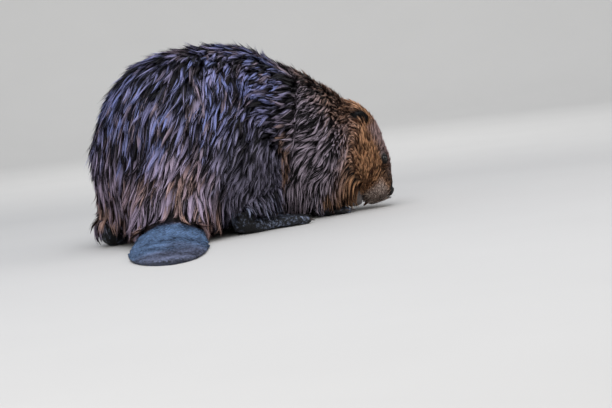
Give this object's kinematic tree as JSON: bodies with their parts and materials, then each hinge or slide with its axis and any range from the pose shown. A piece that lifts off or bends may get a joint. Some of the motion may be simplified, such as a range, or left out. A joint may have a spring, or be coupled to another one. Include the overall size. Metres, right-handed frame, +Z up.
{
  "type": "beaver",
  "caption": "Life-size beaver in a wet brown coat, hunched over its fore paws with its head bowed to gnaw, webbed hind feet planted and its flat scaly tail laid behind.",
  "frame": {"origin": "on the floor, under the middle of the animal's bounding box", "axes": "+X along the trunk, from rump to chest; +Y to the animal's left; +Z up"},
  "size_m": [0.67, 0.481, 0.304],
  "materials": {
    "body_fur": "wet coat of clumped guard hair, glossy",
    "face_fur": "short damp fur, satin",
    "foot_skin": "bare scaly skin, damp satin",
    "tail_skin": "fine scales, damp satin",
    "claw": "horn, satin",
    "eye": "wet, glossy",
    "nose_skin": "bare wet skin",
    "tooth": "orange enamel, satin"
  },
  "bodies": {
    "root": {"trunk": "body_fur", "neck": "body_fur", "tail_base": "body_fur", "thigh_right": "body_fur", "thigh_left": "body_fur", "shank_right": "body_fur", "shank_left": "body_fur", "upper_arm_right": "body_fur", "upper_arm_left": "body_fur", "forearm_right": "body_fur", "forearm_left": "body_fur", "head": "face_fur", "lower_jaw": "face_fur", "ear_right": "face_fur", "ear_left": "face_fur", "hind_foot_right": "foot_skin", "hind_foot_left": "foot_skin", "fore_paw_right": "foot_skin", "fore_paw_left": "foot_skin", "tail_paddle": "tail_skin", "hind_claw_right_1": "claw", "hind_claw_right_2": "claw", "hind_claw_right_3": "claw", "hind_claw_right_4": "claw", "hind_claw_right_5": "claw", "hind_claw_left_1": "claw", "hind_claw_left_2": "claw", "hind_claw_left_3": "claw", "hind_claw_left_4": "claw", "hind_claw_left_5": "claw", "fore_claw_right_1": "claw", "fore_claw_right_2": "claw", "fore_claw_right_3": "claw", "fore_claw_right_4": "claw", "fore_claw_right_5": "claw", "fore_claw_left_1": "claw", "fore_claw_left_2": "claw", "fore_claw_left_3": "claw", "fore_claw_left_4": "claw", "fore_claw_left_5": "claw", "eye_right": "eye", "eye_left": "eye", "nose": "nose_skin", "upper_incisors": "tooth", "lower_incisors": "tooth"}
  },
  "joints": []
}
